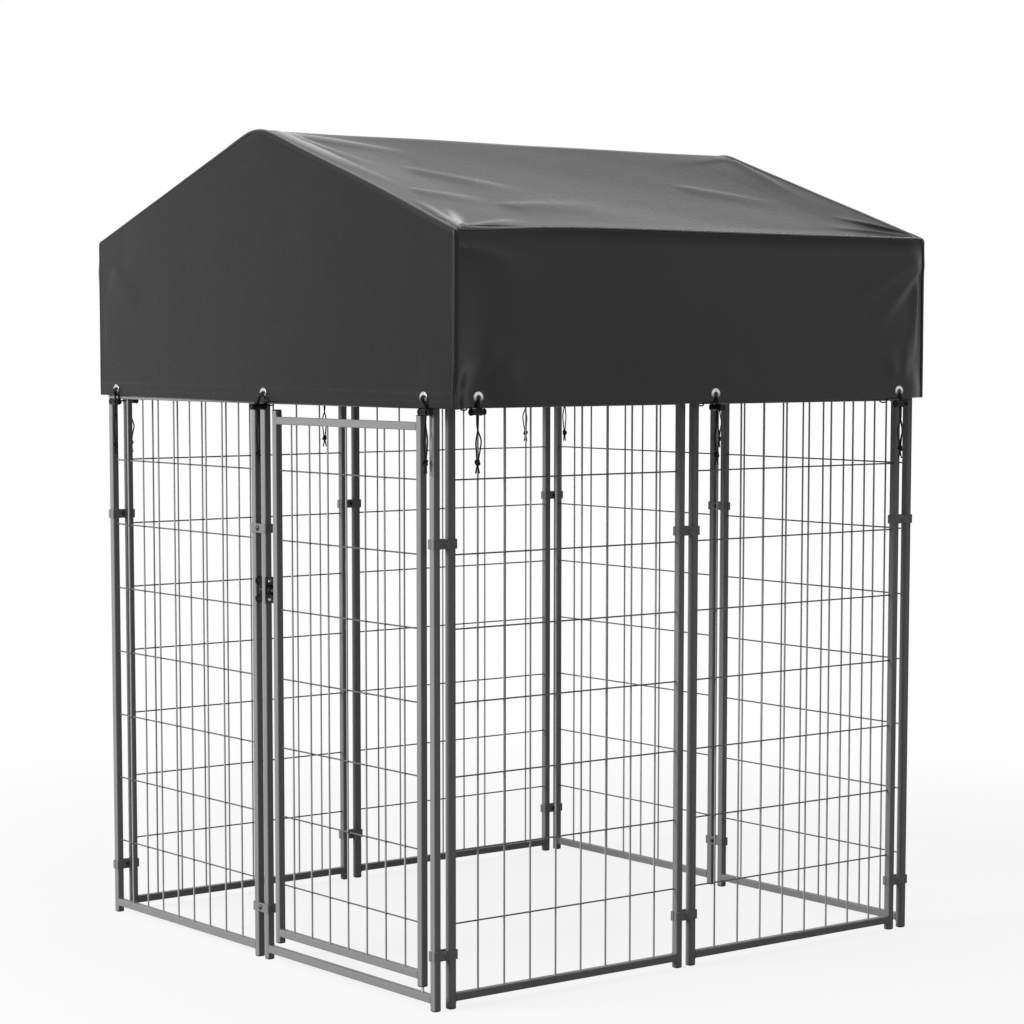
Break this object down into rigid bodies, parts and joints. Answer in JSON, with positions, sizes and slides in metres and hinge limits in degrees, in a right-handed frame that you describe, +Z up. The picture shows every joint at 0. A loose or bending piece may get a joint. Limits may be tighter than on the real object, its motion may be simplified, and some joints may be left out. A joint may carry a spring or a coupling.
{
  "type": "outdoor dog kennel run",
  "caption": "Square wire-panel dog run with a swing door, slide bolt, clamped corners and a gable cloth roof laced to the top rails with elastic cords.",
  "frame": {"origin": "ground point at the centre of the pen's footprint", "axes": "+Z up; the door wall faces -Y; the roof ridge runs along Y; +X is to the right seen from outside the door"},
  "size_m": [1.3684, 1.3926, 1.7474],
  "materials": {
    "powder_coat": "satin",
    "clamp_coat": "satin",
    "latch_coat": "satin",
    "bolt_coat": "satin",
    "zinc_steel": "satin",
    "eyelet_metal": "satin",
    "black_plastic": "matte",
    "cover_cloth": "satin",
    "elastic_cord": "matte"
  },
  "bodies": {
    "kennel": {"front_left_frame": "powder_coat", "right_front_frame": "powder_coat", "right_rear_frame": "powder_coat", "rear_right_frame": "powder_coat", "rear_left_frame": "powder_coat", "left_rear_frame": "powder_coat", "left_front_frame": "powder_coat", "front_left_mesh": "powder_coat", "right_front_mesh": "powder_coat", "right_rear_mesh": "powder_coat", "rear_right_mesh": "powder_coat", "rear_left_mesh": "powder_coat", "left_rear_mesh": "powder_coat", "left_front_mesh": "powder_coat", "door_frame": "powder_coat", "bow_front_right": "powder_coat", "bow_front_left": "powder_coat", "bow_rear_right": "powder_coat", "bow_rear_left": "powder_coat", "ridge_pole": "powder_coat", "eave_rail_right": "powder_coat", "eave_rail_left": "powder_coat", "ridge_tee_front": "powder_coat", "ridge_tee_rear": "powder_coat", "clamp_outer_plates": "clamp_coat", "clamp_inner_plates": "clamp_coat", "latch_plate": "latch_coat", "clamp_bolts": "bolt_coat", "clamp_nuts": "bolt_coat", "latch_rivets": "zinc_steel", "lock_springs": "zinc_steel", "eyelets": "eyelet_metal", "foot_plugs": "black_plastic", "top_plugs": "black_plastic", "lock_barrels": "black_plastic", "cover_slope_right": "cover_cloth", "cover_slope_left": "cover_cloth", "cover_skirt_right": "cover_cloth", "cover_skirt_left": "cover_cloth", "cover_gable_front": "cover_cloth", "cover_gable_rear": "cover_cloth", "tie_cords": "elastic_cord", "tie_knots": "elastic_cord"},
    "door_leaf": {"leaf_frame": "powder_coat", "leaf_mesh": "powder_coat", "hinge_pins": "zinc_steel", "leaf_plugs": "black_plastic"},
    "latch_bolt": {"latch_bolt": "latch_coat"},
    "plunger_front_left": {"plunger_front_left": "black_plastic"},
    "plunger_front_mid": {"plunger_front_mid": "black_plastic"},
    "plunger_front_right": {"plunger_front_right": "black_plastic"},
    "plunger_right_left": {"plunger_right_left": "black_plastic"},
    "plunger_right_mid": {"plunger_right_mid": "black_plastic"},
    "plunger_right_right": {"plunger_right_right": "black_plastic"},
    "plunger_rear_left": {"plunger_rear_left": "black_plastic"},
    "plunger_rear_mid": {"plunger_rear_mid": "black_plastic"},
    "plunger_rear_right": {"plunger_rear_right": "black_plastic"},
    "plunger_left_left": {"plunger_left_left": "black_plastic"},
    "plunger_left_mid": {"plunger_left_mid": "black_plastic"},
    "plunger_left_right": {"plunger_left_right": "black_plastic"}
  },
  "joints": [
    {"name": "door_swing", "type": "hinge", "parent": "kennel", "child": "door_leaf", "pos_m": [0.5699, -0.6505, 0], "axis": [0, 0, 1], "range_deg": [0, 105]},
    {"name": "latch_slide", "type": "slide", "parent": "kennel", "child": "latch_bolt", "axis": [1, 0, 0], "range_m": [0, 0.012]},
    {"name": "press_front_left", "type": "slide", "parent": "kennel", "child": "plunger_front_left", "axis": [-1, 0, 0], "range_m": [0, 0.005], "stiffness_N_per_m": 300},
    {"name": "press_front_mid", "type": "slide", "parent": "kennel", "child": "plunger_front_mid", "axis": [0, 1, 0], "range_m": [0, 0.005], "stiffness_N_per_m": 300},
    {"name": "press_front_right", "type": "slide", "parent": "kennel", "child": "plunger_front_right", "axis": [-1, 0, 0], "range_m": [0, 0.005], "stiffness_N_per_m": 300},
    {"name": "press_right_left", "type": "slide", "parent": "kennel", "child": "plunger_right_left", "axis": [0, -1, 0], "range_m": [0, 0.005], "stiffness_N_per_m": 300},
    {"name": "press_right_mid", "type": "slide", "parent": "kennel", "child": "plunger_right_mid", "axis": [-1, 0, 0], "range_m": [0, 0.005], "stiffness_N_per_m": 300},
    {"name": "press_right_right", "type": "slide", "parent": "kennel", "child": "plunger_right_right", "axis": [0, -1, 0], "range_m": [0, 0.005], "stiffness_N_per_m": 300},
    {"name": "press_rear_left", "type": "slide", "parent": "kennel", "child": "plunger_rear_left", "axis": [1, 0, 0], "range_m": [0, 0.005], "stiffness_N_per_m": 300},
    {"name": "press_rear_mid", "type": "slide", "parent": "kennel", "child": "plunger_rear_mid", "axis": [0, -1, 0], "range_m": [0, 0.005], "stiffness_N_per_m": 300},
    {"name": "press_rear_right", "type": "slide", "parent": "kennel", "child": "plunger_rear_right", "axis": [1, 0, 0], "range_m": [0, 0.005], "stiffness_N_per_m": 300},
    {"name": "press_left_left", "type": "slide", "parent": "kennel", "child": "plunger_left_left", "axis": [0, 1, 0], "range_m": [0, 0.005], "stiffness_N_per_m": 300},
    {"name": "press_left_mid", "type": "slide", "parent": "kennel", "child": "plunger_left_mid", "axis": [1, 0, 0], "range_m": [0, 0.005], "stiffness_N_per_m": 300},
    {"name": "press_left_right", "type": "slide", "parent": "kennel", "child": "plunger_left_right", "axis": [0, 1, 0], "range_m": [0, 0.005], "stiffness_N_per_m": 300}
  ]
}
